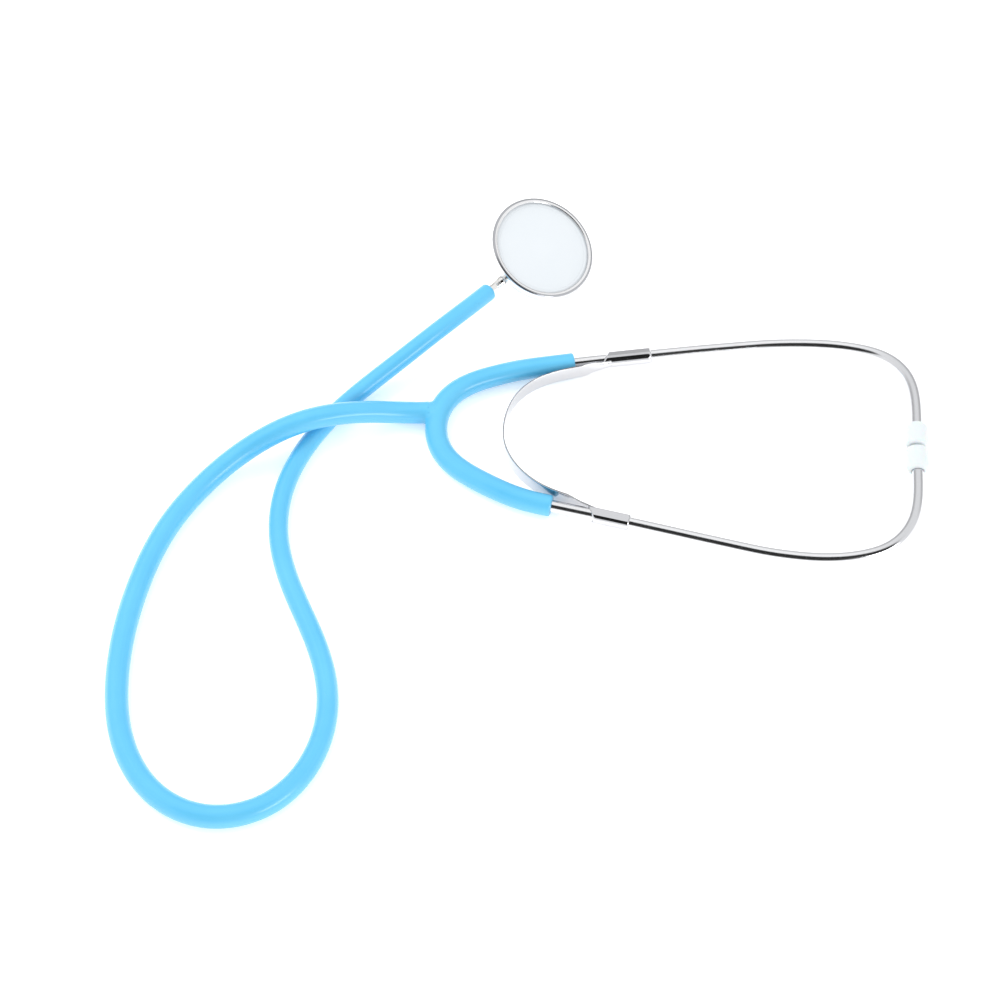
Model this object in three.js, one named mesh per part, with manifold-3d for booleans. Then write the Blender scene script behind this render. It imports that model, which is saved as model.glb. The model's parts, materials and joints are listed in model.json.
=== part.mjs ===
// Single-head stethoscope lying on a table: chest piece, hose, Y-shaped headset tubing,
// leaf spring, two ear tubes and two ear tips. Millimetres, +Z up, the table at z = 0.
// +X runs along the headset towards the ear tips, +Y is the wearer's left side.

import * as THREE from "three";
import * as BufferGeometryUtils from "three/addons/utils/BufferGeometryUtils.js";
import Module from "manifold-3d";

const wasm = await Module();
wasm.setup();

// ---------------------------------------------------------------- driving dimensions

const GAP = 0.3; // clearance kept between neighbouring pieces

const HOSE_RADIUS = 4.4;
const HOSE_BORE = 2.95;
const HOSE_STEPS = 44;
const BRANCH_RADIUS = 4.3;
const BRANCH_BORE = 2.9;

const EAR_TUBE_RADIUS = 2.5;
const EAR_TUBE_BORE = 1.8;
const EAR_TUBE_STEPS = 34;

const SLEEVE_RADIUS = 3.4;
const SLEEVE_BORE = 2.8;
const SLEEVE_SLANT = 3.5; // how much shorter the outer side of a rolled sleeve is

const SPRING_WIDTH = 8.4;
const SPRING_HEIGHT = 1.2; // of the strip's lower edge above the table
const SPRING_THICKNESS = 0.6;
const SPRING_STEPS = 30;

const TIP_RADIUS = 4.8;
const TIP_LENGTH = 11;
const TIP_SOCKET = 6;
const TIP_SOUND_HOLE = 1.1;

const RING_RADIUS = 23.25;
const RING_DEPTH = 4.6;
const RING_WALL = 1.0;
const RING_LIP = 2.7;
const RING_LIP_THICKNESS = 0.8;
const DIAPHRAGM_THICKNESS = 0.4;
const STEM_RADIUS = 2.0;
const STEM_BORE = 1.2;
const STEM_DEPTH = 7.4; // from the front plane of the ring back to the stem's axis
const STEM_REACH = 31.4; // from the head's axis to the end of the hose
const STEM_IN_HOSE = 11;
const HEAD_ROLL = THREE.MathUtils.degToRad(23.2); // turn of the head about its stem

// The headset is drawn about y = 0; this moves the origin under the middle of the object.
const FRAME_SHIFT = [-9.4, -29.1, 0];

// Free hose, from the Y junction to the chest piece: laid on the table, with a low hump where
// it crosses over itself and a rise to the stem at its end.
const HOSE_ROUTE = [
  [-96.5, 8, 4.8], [-107, 6.5, 6.5], [-123, 2.2, 12.6], [-144, -5.2, 15.9], [-165, -15, 9],
  [-183, -32, 4.5], [-196, -54, 4.5], [-203, -78, 4.5], [-207, -103, 4.5], [-207, -129, 4.5],
  [-202, -154, 4.5], [-187, -176, 4.5], [-163, -185, 4.5], [-138, -176, 4.5], [-124, -154, 4.5],
  [-121, -128, 4.5], [-129, -103, 4.5], [-141, -81, 4.5], [-150, -57, 4.5], [-150, -32, 4.5],
  [-141, -8, 4.5], [-126, 13, 4.5], [-108, 29, 8], [-90.8, 43.9, 13], [-76.9, 58.7, 12.3],
  [-70.2, 66.9, 11],
];

// Headset hose, from the end on the left ear tube round the Y to the end on the right one.
const BRANCH_ROUTE = [
  [-33, 36.4, 5], [-43.5, 34.2, 5], [-54, 32, 5], [-64, 29, 4.6], [-74, 25, 4.6],
  [-82.5, 19, 4.6], [-87.8, 10, 4.6], [-88.8, -1, 4.6], [-85.5, -11, 4.6], [-78.5, -18.5, 4.6],
  [-69, -24.4, 5], [-59.5, -29.2, 5], [-50, -32.9, 5], [-39.5, -34.9, 5],
];
const Y_LEFT_END = 0.36; // shares of the headset hose's length between which the Y lies
const Y_RIGHT_END = 0.61;

// Left ear tube; the right one is its mirror image. Straight through the hose and the sleeve,
// then bowed out, bent round to the ears and a little raised at the end.
const EAR_TUBE_ROUTE = [
  [-49, 33, 5], [-38, 35.1, 5], [-27, 37.2, 5], [-14.5, 39.6, 5], [-2, 42, 4.6], [10.5, 44.4, 4.3],
  [23.5, 46.9, 3.9], [36.5, 49.2, 3.4], [49, 51.5, 2.9], [62, 52.7, 2.6], [74.5, 53, 2.6],
  [87.5, 51.5, 3.1], [100, 47.5, 4], [108.5, 38, 5.4], [111.5, 25, 6.2], [111, 5.3, 6.6],
];
const LEFT_SLEEVE = [-20.6, 0.4]; // where each rolled sleeve starts and ends along X
const RIGHT_SLEEVE = [-24.4, -6.3];

// Middle line of the leaf spring seen from above, from the left sleeve to the right one.
const SPRING_ROUTE = [
  [-21.2, 34.4], [-30, 31.9], [-40.5, 28.8], [-50.5, 23.5], [-57.5, 14.5], [-60.5, 3],
  [-60, -8.5], [-54.5, -18.5], [-46, -26.3], [-36, -30.9], [-25.6, -33.6],
];

// ---------------------------------------------------------------- curves and solids

// A uniform cubic B-spline through space. It starts and ends on its end points.
class SmoothRoute extends THREE.Curve {
  constructor(points) {
    super();
    const path = points.map(([x, y, z = 0]) => new THREE.Vector3(x, y, z));
    const before = path[0].clone().multiplyScalar(2).sub(path[1]);
    const after = path.at(-1).clone().multiplyScalar(2).sub(path.at(-2));
    this.path = [before, ...path, after];
    this.arcLengthDivisions = 600;
  }

  getPoint(share, target = new THREE.Vector3()) {
    const spans = this.path.length - 3;
    const place = Math.min(share * spans, spans - 1e-9);
    const first = Math.floor(place);
    const t = place - first;
    const weights = [
      (1 - t) ** 3 / 6,
      (3 * t ** 3 - 6 * t ** 2 + 4) / 6,
      (-3 * t ** 3 + 3 * t ** 2 + 3 * t + 1) / 6,
      t ** 3 / 6,
    ];
    target.set(0, 0, 0);
    weights.forEach((weight, k) => target.addScaledVector(this.path[first + k], weight));
    return target;
  }
}

// The stretch of a curve between two shares of its length.
class Stretch extends THREE.Curve {
  constructor(curve, from, to) {
    super();
    Object.assign(this, { curve, from, to });
  }

  getPoint(share, target = new THREE.Vector3()) {
    return this.curve.getPointAt(this.from + (this.to - this.from) * share, target);
  }
}

// The share of a curve's length at which it first passes a given x.
function shareAtX(curve, x) {
  const start = curve.getPointAt(0).x;
  let low = 0;
  let high = 0.5;
  for (let pass = 0; pass < 40; pass += 1) {
    const middle = (low + high) / 2;
    const reached = (curve.getPointAt(middle).x - x) * Math.sign(x - start) >= 0;
    if (reached) high = middle;
    else low = middle;
  }
  return low;
}

// A round section, with a round hole where a bore is given.
function roundSection(radius, bore = 0) {
  const shape = new THREE.Shape().absarc(0, 0, radius, 0, 2 * Math.PI);
  if (bore > 0) {
    shape.holes.push(new THREE.Path().absarc(0, 0, bore, 0, 2 * Math.PI, true));
  }
  return shape;
}

// A round bar or tube along a curve.
function tube(curve, radius, bore, steps, sides = 12) {
  const settings = { steps, curveSegments: sides / 2, bevelEnabled: false, extrudePath: curve };
  return new THREE.ExtrudeGeometry(roundSection(radius, bore), settings);
}

// A solid of revolution about Z; the profile is a list of [radius, z] pairs.
function revolve(profile, segments) {
  const points = profile.map(([radius, z]) => new THREE.Vector2(radius, z));
  return new THREE.LatheGeometry(points, segments).rotateX(Math.PI / 2);
}

function toSolid(geometry) {
  const bare = geometry.clone();
  bare.deleteAttribute("normal");
  bare.deleteAttribute("uv");
  const merged = BufferGeometryUtils.mergeVertices(bare, 1e-4);
  const vertProperties = new Float32Array(merged.attributes.position.array);
  const triVerts = new Uint32Array(merged.index.array);
  return new wasm.Manifold(new wasm.Mesh({ numProp: 3, vertProperties, triVerts }));
}

function toGeometry(solid) {
  const mesh = solid.getMesh();
  const geometry = new THREE.BufferGeometry();
  geometry.setAttribute("position", new THREE.BufferAttribute(mesh.vertProperties, 3));
  geometry.setIndex(new THREE.BufferAttribute(mesh.triVerts, 1));
  return geometry;
}

// ---------------------------------------------------------------- finishes

const finishes = {
  hose: { color: 0x57c0fa, roughness: 0.35, metalness: 0 },
  chrome: { color: 0xe6e8ea, roughness: 0.12, metalness: 1 },
  springSteel: { color: 0xdfe2e4, roughness: 0.2, metalness: 1 },
  aluminium: { color: 0xd4d7da, roughness: 0.3, metalness: 1 },
  film: { color: 0xeef6fb, roughness: 0.4, metalness: 0 },
  softWhite: { color: 0xf4f7f8, roughness: 0.5, metalness: 0 },
};

function piece(name, geometry, finish) {
  const mesh = new THREE.Mesh(geometry, new THREE.MeshStandardMaterial(finishes[finish]));
  mesh.name = name;
  return mesh;
}

// ---------------------------------------------------------------- hoses

const hoseCurve = new SmoothRoute(HOSE_ROUTE);
const branchCurve = new SmoothRoute(BRANCH_ROUTE);

function mainHose() {
  return piece("main_hose", tube(hoseCurve, HOSE_RADIUS, HOSE_BORE, HOSE_STEPS, 10), "hose");
}

// The Y: a stretch of the headset hose with an inlet joined to its back, hollow throughout.
function yJunction() {
  const across = new Stretch(branchCurve, Y_LEFT_END, Y_RIGHT_END);
  const share = Y_LEFT_END + 0.43 * (Y_RIGHT_END - Y_LEFT_END);
  const middle = branchCurve.getPointAt(share);
  const mouth = hoseCurve.getPointAt(0);
  const outward = hoseCurve.getTangentAt(0);
  const inlet = new THREE.CubicBezierCurve3(
    mouth.clone().addScaledVector(outward, -GAP),
    mouth.clone().addScaledVector(outward, -3),
    middle.clone().add(new THREE.Vector3(-4, 0, 0)),
    middle,
  );
  const flowing = inlet.clone();
  flowing.v0 = mouth.clone().addScaledVector(outward, GAP);
  const outside = toSolid(tube(across, BRANCH_RADIUS + 0.2, 0, 12))
    .add(toSolid(tube(inlet, HOSE_RADIUS + 0.1, 0, 4)));
  const beyond = new Stretch(branchCurve, Y_LEFT_END - 0.01, Y_RIGHT_END + 0.01);
  const inside = toSolid(tube(beyond, BRANCH_BORE, 0, 13, 10))
    .add(toSolid(tube(flowing, HOSE_BORE, 0, 5, 10)));
  return piece("y_junction", toGeometry(outside.subtract(inside)), "hose");
}

function branch(name, from, to) {
  const part = new Stretch(branchCurve, from, to);
  return piece(name, tube(part, BRANCH_RADIUS, BRANCH_BORE, 9), "hose");
}

// ---------------------------------------------------------------- headset

const mirrored = (points) => points.map(([x, y, z]) => [x, -y, z]);
const earCurves = {
  left: new SmoothRoute(EAR_TUBE_ROUTE),
  right: new SmoothRoute(mirrored(EAR_TUBE_ROUTE)),
};

function earTube(side) {
  const geometry = tube(earCurves[side], EAR_TUBE_RADIUS, EAR_TUBE_BORE, EAR_TUBE_STEPS);
  return piece(`${side}_ear_tube`, geometry, "chrome");
}

// A rolled end of the leaf spring, wrapped round the ear tube. Its hose end is cut on a slant,
// longer on the inner side, where the flat of the spring runs into it.
function springSleeve(side, [startX, endX]) {
  const curve = earCurves[side];
  const part = new Stretch(curve, shareAtX(curve, startX), shareAtX(curve, endX));
  const inner = side === "left" ? -1 : 1;
  const start = part.getPointAt(0);
  const along = part.getTangentAt(0);
  const slant = Math.atan(SLEEVE_SLANT / (2 * SLEEVE_RADIUS));
  const knife = new THREE.BoxGeometry(20, 30, 30).translate(-10, 0, 0);
  knife.rotateZ(Math.atan2(along.y, along.x) + inner * slant);
  knife.translate(start.x, start.y, start.z);
  const inset = along.clone().multiplyScalar(SLEEVE_SLANT / 2);
  knife.translate(inset.x, inset.y, inset.z);
  const rolled = toSolid(tube(part, SLEEVE_RADIUS, SLEEVE_BORE, 5, 16));
  return piece(`${side}_spring_sleeve`, toGeometry(rolled.subtract(toSolid(knife))), "springSteel");
}

// The leaf spring: a flat strip on edge, bent to a U between the two sleeves.
function leafSpring() {
  const curve = new SmoothRoute(SPRING_ROUTE);
  const half = SPRING_THICKNESS / 2;
  const side = (sign) => curve.getSpacedPoints(SPRING_STEPS).map((point, k) => {
    const along = curve.getTangentAt(k / SPRING_STEPS);
    return new THREE.Vector2(point.x - sign * half * along.y, point.y + sign * half * along.x);
  });
  const outline = new THREE.Shape([...side(-1), ...side(1).reverse()]);
  const settings = { depth: SPRING_WIDTH, bevelEnabled: false };
  const strip = new THREE.ExtrudeGeometry(outline, settings).translate(0, 0, SPRING_HEIGHT);
  return piece("leaf_spring", strip, "springSteel");
}

// A soft ear tip pushed over the end of its tube, with a sound hole through its rounded front.
function earTip(side) {
  const curve = earCurves[side];
  const socket = EAR_TUBE_RADIUS + GAP;
  const back = -TIP_SOCKET;
  const front = TIP_LENGTH - TIP_SOCKET;
  const profile = [
    [socket, back], [TIP_RADIUS - 0.9, back], [TIP_RADIUS - 0.2, back + 0.7], [TIP_RADIUS, back + 2],
    [TIP_RADIUS, front - 3.4], [TIP_RADIUS - 0.5, front - 1.7], [TIP_RADIUS - 1.6, front - 0.5],
    [TIP_SOUND_HOLE + 0.9, front], [TIP_SOUND_HOLE, front - 0.6], [TIP_SOUND_HOLE, GAP],
    [socket, GAP], [socket, back],
  ];
  const tip = piece(`${side}_ear_tip`, revolve(profile, 20), "softWhite");
  tip.position.copy(curve.getPointAt(1));
  tip.quaternion.setFromUnitVectors(new THREE.Vector3(0, 0, 1), curve.getTangentAt(1));
  return tip;
}

// ---------------------------------------------------------------- chest piece

// Drawn with its stem along +X, its front facing +Z and the stem's axis at z = 0.
const FRONT = STEM_DEPTH;
const SEAT = FRONT - RING_LIP_THICKNESS; // the inner face of the ring's lip
const HEAD_SEGMENTS = 40;

// Solid back of the head: a shallow sound chamber in front and a domed back with a hub.
function headBody() {
  const rim = RING_RADIUS - RING_WALL - GAP;
  const edge = SEAT - 2 * GAP - DIAPHRAGM_THICKNESS;
  const profile = [
    [0, edge - 2.4], [3, edge - 2.3], [12, edge - 1.2], [rim - 1.5, edge - 0.3], [rim - 1.4, edge],
    [rim, edge], [rim, FRONT - RING_DEPTH - 0.4], [rim - 1.6, FRONT - RING_DEPTH - 1.2],
    [15, -0.6], [9.5, -2.2], [8, -3.4], [6.6, -3.9], [0, -4],
  ].reverse();
  const stemSocket = STEM_RADIUS + GAP;
  const across = (geometry, from) => geometry.rotateZ(-Math.PI / 2).translate(from, 0, 0);
  const bossLength = rim - 3;
  const boss = new THREE.CylinderGeometry(3.1, 3.6, bossLength, 24);
  const hole = new THREE.CylinderGeometry(stemSocket, stemSocket, 30, 24);
  const duct = new THREE.CylinderGeometry(STEM_BORE, STEM_BORE, 8, 12);
  const riser = new THREE.CylinderGeometry(1.5, 1.5, edge, 12).rotateX(Math.PI / 2);
  const solid = toSolid(revolve(profile, HEAD_SEGMENTS))
    .add(toSolid(across(boss, 3 + bossLength / 2)))
    .subtract(toSolid(across(hole, 5 + 15)))
    .subtract(toSolid(across(duct, 3)))
    .subtract(toSolid(riser.translate(0, 0, edge / 2)));
  return piece("head_body", toGeometry(solid), "aluminium");
}

function stem() {
  const from = 5 + GAP;
  const to = STEM_REACH + STEM_IN_HOSE;
  const profile = [
    [STEM_BORE, from], [STEM_RADIUS, from], [STEM_RADIUS, to - 0.6], [STEM_RADIUS - 0.4, to],
    [STEM_BORE, to], [STEM_BORE, from],
  ];
  return piece("stem", revolve(profile, 20).rotateY(Math.PI / 2), "chrome");
}

function diaphragm() {
  const radius = RING_RADIUS - RING_WALL - 2 * GAP;
  const top = SEAT - GAP;
  const profile = [[0, top - DIAPHRAGM_THICKNESS], [radius, top - DIAPHRAGM_THICKNESS], [radius, top], [0, top]];
  return piece("diaphragm", revolve(profile, HEAD_SEGMENTS), "film");
}

// Screwed ring that holds the diaphragm: a side wall with a lip turned in over the front.
function retainingRing() {
  const back = FRONT - RING_DEPTH;
  const inner = RING_RADIUS - RING_WALL;
  const profile = [
    [inner, back], [RING_RADIUS - 0.3, back], [RING_RADIUS, back + 0.3], [RING_RADIUS, FRONT - 0.8],
    [RING_RADIUS - 0.3, FRONT - 0.2], [RING_RADIUS - 0.9, FRONT], [RING_RADIUS - RING_LIP + 0.6, FRONT],
    [RING_RADIUS - RING_LIP, FRONT - 0.4], [RING_RADIUS - RING_LIP, SEAT], [inner, SEAT], [inner, back],
  ];
  return piece("retaining_ring", revolve(profile, HEAD_SEGMENTS), "aluminium");
}

// The head continues the line of the hose's end, rolled about that line.
function chestPiece() {
  const hoseEnd = hoseCurve.getPointAt(1);
  const inward = hoseCurve.getTangentAt(1);
  const outward = inward.clone().negate();
  const up = new THREE.Vector3(0, 0, 1).addScaledVector(inward, -inward.z).normalize();
  const facing = up.applyAxisAngle(inward, HEAD_ROLL);
  const sideways = facing.clone().cross(outward);
  const head = new THREE.Group();
  head.add(headBody(), stem(), diaphragm(), retainingRing());
  head.quaternion.setFromRotationMatrix(new THREE.Matrix4().makeBasis(outward, sideways, facing));
  head.position.copy(hoseEnd).addScaledVector(inward, STEM_REACH);
  return head;
}

// ---------------------------------------------------------------- assembly

const gapShare = GAP / branchCurve.getLength();

const group = new THREE.Group();
group.add(
  mainHose(),
  yJunction(),
  branch("left_branch", 0, Y_LEFT_END - gapShare),
  branch("right_branch", Y_RIGHT_END + gapShare, 1),
  leafSpring(),
  springSleeve("left", LEFT_SLEEVE),
  springSleeve("right", RIGHT_SLEEVE),
  earTube("left"),
  earTube("right"),
  earTip("left"),
  earTip("right"),
  chestPiece(),
);
group.position.set(...FRAME_SHIFT);

export default group;
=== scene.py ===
# %% [markdown]
# # A single-head stethoscope on a white table
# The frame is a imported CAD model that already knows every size, place and joint. This lesson
# builds the fine surfaces round it: a moulded blue hose, chromed ear tubes, a rolled leaf spring,
# soft tips and a turned chest piece. Everything is in metres.

# %% Load the frame
import json
import math

import bpy
import numpy as np
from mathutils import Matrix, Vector


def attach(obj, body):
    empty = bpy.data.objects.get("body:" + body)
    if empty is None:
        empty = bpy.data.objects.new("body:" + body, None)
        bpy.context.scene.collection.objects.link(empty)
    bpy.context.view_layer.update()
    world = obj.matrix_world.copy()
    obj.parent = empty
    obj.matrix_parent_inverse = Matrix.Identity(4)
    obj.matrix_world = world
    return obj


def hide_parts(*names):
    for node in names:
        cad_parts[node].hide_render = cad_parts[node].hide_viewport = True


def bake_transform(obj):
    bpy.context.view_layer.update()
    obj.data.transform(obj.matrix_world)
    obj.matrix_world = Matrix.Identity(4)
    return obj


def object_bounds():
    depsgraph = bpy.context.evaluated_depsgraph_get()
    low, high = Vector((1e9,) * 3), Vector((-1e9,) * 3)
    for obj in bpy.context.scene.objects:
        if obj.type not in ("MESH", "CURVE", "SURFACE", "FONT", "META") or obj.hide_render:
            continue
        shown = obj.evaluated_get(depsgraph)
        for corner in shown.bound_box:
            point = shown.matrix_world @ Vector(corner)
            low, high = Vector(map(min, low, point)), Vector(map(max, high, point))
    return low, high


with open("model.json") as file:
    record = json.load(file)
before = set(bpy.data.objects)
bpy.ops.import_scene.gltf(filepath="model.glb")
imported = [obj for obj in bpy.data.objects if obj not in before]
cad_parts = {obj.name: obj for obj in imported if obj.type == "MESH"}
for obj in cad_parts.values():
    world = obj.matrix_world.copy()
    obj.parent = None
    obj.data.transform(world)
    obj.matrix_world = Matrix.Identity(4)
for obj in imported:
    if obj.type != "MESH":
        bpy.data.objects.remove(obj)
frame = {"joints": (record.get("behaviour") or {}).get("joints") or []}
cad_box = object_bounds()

MM = 0.001
print("CAD box", cad_box)

# %% [markdown]
# ## Shared routes
# A hose or a bent tube is a section carried along a line. The lines are the CAD model's own: short
# lists of points, smoothed as uniform cubic B-splines. They are repeated here in millimetres about
# the headset's axis and then moved into the frame. Blender's own curves could carry the sections
# too, but plain arrays let the thickness, the seams and the bends all be read from one line.

# %% Route points
FRAME_SHIFT = np.array([-9.4, -29.1, 0.0])
HOSE_ROUTE = [
    [-96.5, 8, 4.8], [-107, 6.5, 6.5], [-123, 2.2, 12.6], [-144, -5.2, 15.9], [-165, -15, 9],
    [-183, -32, 4.5], [-196, -54, 4.5], [-203, -78, 4.5], [-207, -103, 4.5], [-207, -129, 4.5],
    [-202, -154, 4.5], [-187, -176, 4.5], [-163, -185, 4.5], [-138, -176, 4.5], [-124, -154, 4.5],
    [-121, -128, 4.5], [-129, -103, 4.5], [-141, -81, 4.5], [-150, -57, 4.5], [-150, -32, 4.5],
    [-141, -8, 4.5], [-126, 13, 4.5], [-108, 29, 8], [-90.8, 43.9, 13], [-76.9, 58.7, 12.3],
    [-70.2, 66.9, 11],
]
BRANCH_ROUTE = [
    [-33, 36.4, 5], [-43.5, 34.2, 5], [-54, 32, 5], [-64, 29, 4.6], [-74, 25, 4.6],
    [-82.5, 19, 4.6], [-87.8, 10, 4.6], [-88.8, -1, 4.6], [-85.5, -11, 4.6], [-78.5, -18.5, 4.6],
    [-69, -24.4, 5], [-59.5, -29.2, 5], [-50, -32.9, 5], [-39.5, -34.9, 5],
]
EAR_TUBE_ROUTE = [
    [-49, 33, 5], [-38, 35.1, 5], [-27, 37.2, 5], [-14.5, 39.6, 5], [-2, 42, 4.6],
    [10.5, 44.4, 4.3], [23.5, 46.9, 3.9], [36.5, 49.2, 3.4], [49, 51.5, 2.9], [62, 52.7, 2.6],
    [74.5, 53, 2.6], [87.5, 51.5, 3.1], [100, 47.5, 4], [108.5, 38, 5.4], [111.5, 25, 6.2],
    [111, 5.3, 6.6],
]
SPRING_ROUTE = [
    [-21.2, 34.4], [-30, 31.9], [-40.5, 28.8], [-50.5, 23.5], [-57.5, 14.5], [-60.5, 3],
    [-60, -8.5], [-54.5, -18.5], [-46, -26.3], [-36, -30.9], [-25.6, -33.6],
]
SPRING_HEIGHT = 5.4
Y_LEFT_END = 0.36  # shares of the headset hose's length at which the Y begins and ends
Y_RIGHT_END = 0.61


def in_frame(points, height=0.0):
    """Route points, with a height where they have none, moved into the frame in metres."""
    rows = [point if len(point) == 3 else [*point, height] for point in points]
    return (np.array(rows, float) + FRAME_SHIFT) * MM


def smooth(points, count):
    """A uniform cubic B-spline through its end points, as count places evenly spaced along it.

    Each place is the sum of four neighbouring points, weighted by the cubic B-spline basis; the
    ends are reflected so that the line starts and stops on them."""
    first = 2 * points[0] - points[1]
    last = 2 * points[-1] - points[-2]
    line = np.vstack([first, points, last])
    spans = len(points) - 1
    place = np.linspace(0, spans - 1e-9, 40 * spans)
    k = place.astype(int)
    t = (place - k)[:, None]
    fine = ((1 - t) ** 3 * line[k] + (3 * t**3 - 6 * t**2 + 4) * line[k + 1]
            + (-3 * t**3 + 3 * t**2 + 3 * t + 1) * line[k + 2] + t**3 * line[k + 3]) / 6
    reach = along(fine)
    even = np.linspace(0, reach[-1], count)
    return np.column_stack([np.interp(even, reach, fine[:, axis]) for axis in range(3)])


def along(line):
    """Distance from the start to each point of a line."""
    steps = np.linalg.norm(np.diff(line, axis=0), axis=1)
    return np.concatenate([[0], np.cumsum(steps)])


hose_line = smooth(in_frame(HOSE_ROUTE), 520)
branch_line = smooth(in_frame(BRANCH_ROUTE), 400)
mirror_y = np.array([1, -1, 1])
tube_lines = {
    "left": smooth(in_frame(EAR_TUBE_ROUTE), 360),
    "right": smooth(in_frame(np.array(EAR_TUBE_ROUTE) * mirror_y), 360),
}
spring_line = smooth(in_frame(SPRING_ROUTE, height=SPRING_HEIGHT), 260)
hose_length = along(hose_line)[-1]
print("hose", round(hose_length, 4), "m; headset hose", round(along(branch_line)[-1], 4), "m")

# %% [markdown]
# ## Camera
# The camera looks down on the table at 58 degrees, from a little over a metre away, with a long
# lens, so that the near and the far parts come out at almost the same scale. It could be aimed by
# hand with two angles, but a viewing direction worked out from them also gives its place.

# %% Camera
AIM = (np.array([-60, -30.1, 0]) + FRAME_SHIFT) * MM
ELEVATION = math.radians(58)
HEADING = math.radians(3)
CAMERA_DISTANCE = 1.2346
SENSOR_WIDTH = 36  # mm, as the lens is
LENS = 108

looking = np.array([
    -math.sin(HEADING) * math.cos(ELEVATION),
    math.cos(HEADING) * math.cos(ELEVATION),
    -math.sin(ELEVATION),
])
camera_data = bpy.data.cameras.new("studio_camera")
camera_data.sensor_width = SENSOR_WIDTH
camera_data.lens = LENS
camera = bpy.data.objects.new("studio_camera", camera_data)
camera.location = AIM - looking * CAMERA_DISTANCE
camera.rotation_euler = Vector(looking).to_track_quat("-Z", "Y").to_euler()
bpy.context.collection.objects.link(camera)
bpy.context.scene.camera = camera
print("camera at", [round(value, 3) for value in camera.location])

# %% [markdown]
# ## Mesh helpers
# Nearly every new piece is a grid of rings: one parameter runs along it and the other round it. A
# list of ring centres, two directions across and a radius give all the corners at once, and one flat
# face closes each end. The UV map keeps the distance round and along in metres, so a finish can
# follow the surface. A bevelled curve or a Screw modifier would make the same forms, but not with a
# radius that changes freely, a lip turned back into a bore and a UV map in true lengths.

# %% Grid to mesh
def mesh_piece(name, corners, faces, material, uv):
    """A smooth mesh object at the origin, from arrays of corners and UV places and a face list."""
    mesh = bpy.data.meshes.new(name)
    mesh.from_pydata(corners.tolist(), [], faces)
    layer = mesh.uv_layers.new(name="surface")
    loops = np.empty(len(mesh.loops), int)
    mesh.loops.foreach_get("vertex_index", loops)
    layer.data.foreach_set("uv", uv.astype(np.float32)[loops].ravel())
    mesh.polygons.foreach_set("use_smooth", [True] * len(mesh.polygons))
    mesh.materials.append(material)
    mesh.validate()
    mesh.update()
    piece = bpy.data.objects.new(name, mesh)
    bpy.context.collection.objects.link(piece)
    print(f"{name}: {len(mesh.polygons)} faces")
    return piece


def ring_faces(rings, around):
    """Quads between neighbouring rings of a grid, and one face closing each end."""
    i, j = np.meshgrid(np.arange(rings - 1), np.arange(around), indexing="ij")
    here = i * around + j
    beside = i * around + (j + 1) % around
    quads = np.stack([here, beside, beside + around, here + around], axis=-1).reshape(-1, 4)
    start = np.arange(around)[::-1]
    end = (rings - 1) * around + np.arange(around)
    return [*quads.tolist(), start.tolist(), end.tolist()]


def grid_piece(name, grid, material, lengths):
    """A closed piece from a grid of corners [ring, place round, xyz]."""
    rings, around, _ = grid.shape
    turn = np.arange(around) / around
    girth = 2 * np.pi * np.linalg.norm(grid - grid.mean(axis=1, keepdims=True), axis=2).max()
    uv = np.stack(np.broadcast_arrays(turn[None, :] * girth, lengths[:, None]), axis=-1)
    faces = ring_faces(rings, around)
    return mesh_piece(name, grid.reshape(-1, 3), faces, material, uv.reshape(-1, 2))


def turn_outwards(piece):
    """Turns a closed mesh's faces outwards: the volume inside is negative where they point in."""
    mesh = piece.data
    mesh.calc_loop_triangles()
    corners = np.empty(len(mesh.vertices) * 3)
    mesh.vertices.foreach_get("co", corners)
    triangles = np.empty(len(mesh.loop_triangles) * 3, int)
    mesh.loop_triangles.foreach_get("vertices", triangles)
    a, b, c = corners.reshape(-1, 3)[triangles.reshape(-1, 3)].transpose(1, 0, 2)
    if np.einsum("ij,ij->i", a, np.cross(b, c)).sum() < 0:
        mesh.flip_normals()


# %% [markdown]
# A pipe needs two directions across its line at every place. Taking one of them level keeps the
# pipe from twisting, as long as its line never stands upright, and here none does.

# %% Pipes
def directions(line):
    """Unit direction along a line at each of its points, and the level and upright ones across."""
    ahead = np.gradient(line, axis=0)
    ahead /= np.linalg.norm(ahead, axis=1, keepdims=True)
    level = np.cross([0, 0, 1], ahead)
    level /= np.linalg.norm(level, axis=1, keepdims=True)
    upright = np.cross(ahead, level)
    return ahead, level, upright


def pipe(name, line, radius, material, start=(), end=(), around=48):
    """A round pipe: rings of the given radius carried along a line.

    start and end list extra rings as (distance beyond that end, radius); a negative distance goes
    back inside, which turns the wall in to make a lip and a bore."""
    ahead, level, upright = directions(line)
    lead = np.array(start[::-1]).reshape(-1, 2)
    tail = np.array(end).reshape(-1, 2)
    centres = np.vstack([line[0] - ahead[0] * lead[:, :1], line,
                         line[-1] + ahead[-1] * tail[:, :1]])
    sizes = np.concatenate([lead[:, 1], np.broadcast_to(radius, len(line)), tail[:, 1]])
    extra = ((len(lead), len(tail)), (0, 0))
    level, upright = np.pad(level, extra, mode="edge"), np.pad(upright, extra, mode="edge")
    angle = np.linspace(0, 2 * np.pi, around, endpoint=False)
    out = (np.cos(angle)[None, :, None] * level[:, None]
           + np.sin(angle)[None, :, None] * upright[:, None])
    grid = centres[:, None] + sizes[:, None, None] * out
    return grid_piece(name, grid, material, along(centres))


# %% [markdown]
# The tips, the head, the ring and the stem are turned: each is one profile carried round an axis,
# with its corners rounded first so that they catch the light.

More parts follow.
